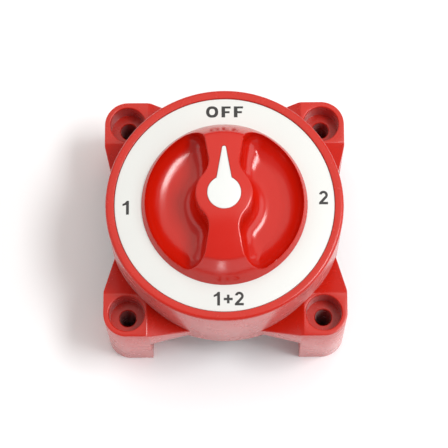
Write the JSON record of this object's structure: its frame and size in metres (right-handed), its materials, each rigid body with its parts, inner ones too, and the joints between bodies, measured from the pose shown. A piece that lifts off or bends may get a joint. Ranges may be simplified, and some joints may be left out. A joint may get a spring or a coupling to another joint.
{
  "type": "battery switch",
  "caption": "Surface-mount marine battery selector switch: round drum on corner posts, rotary grip-bar knob with white pointer over a white legend ring, and threaded terminal studs underneath.",
  "frame": {"origin": "centre of the mounting plane, which is the plane of the feet under the four corner posts", "axes": "+Z out of the mounting plane along the knob's axis, +Y towards the OFF mark, +X towards the 2 mark"},
  "size_m": [0.0984, 0.0984, 0.0826],
  "materials": {
    "red_plastic": "satin",
    "knob_plastic": "gloss",
    "legend_white": "satin",
    "pointer_white": "satin",
    "black_plastic": "satin",
    "nylon": "satin",
    "rubber": "matte",
    "copper": "satin",
    "tinned_copper": "satin",
    "stainless": "satin",
    "spring_steel": "satin",
    "zinc_steel": "satin"
  },
  "bodies": {
    "switch_body": {"housing": "red_plastic", "legend_ring": "legend_white", "base_plate": "black_plastic", "base_gasket": "rubber", "base_screws": "zinc_steel", "contact_battery_1": "copper", "contact_battery_2": "copper", "contact_common": "copper", "stud_battery_1": "tinned_copper", "stud_battery_2": "tinned_copper", "stud_common": "tinned_copper", "flat_washers": "stainless", "lock_washers": "stainless", "hex_nuts": "stainless", "detent_springs": "spring_steel", "leaf_screws": "zinc_steel", "thrust_washer": "nylon"},
    "rotor": {"knob": "knob_plastic", "pointer": "pointer_white", "knob_washer": "stainless", "knob_screw": "stainless", "shaft": "spring_steel", "shaft_o_ring": "rubber", "retaining_clips": "spring_steel", "detent_wheel": "nylon", "contact_carrier": "black_plastic", "moving_contact": "copper", "contact_springs": "spring_steel"}
  },
  "joints": [
    {"name": "knob_turn", "type": "hinge", "parent": "switch_body", "child": "rotor", "pos_m": [0, 0, 0], "axis": [0, 0, 1], "continuous": true, "deforming": ["detent_springs"]}
  ]
}
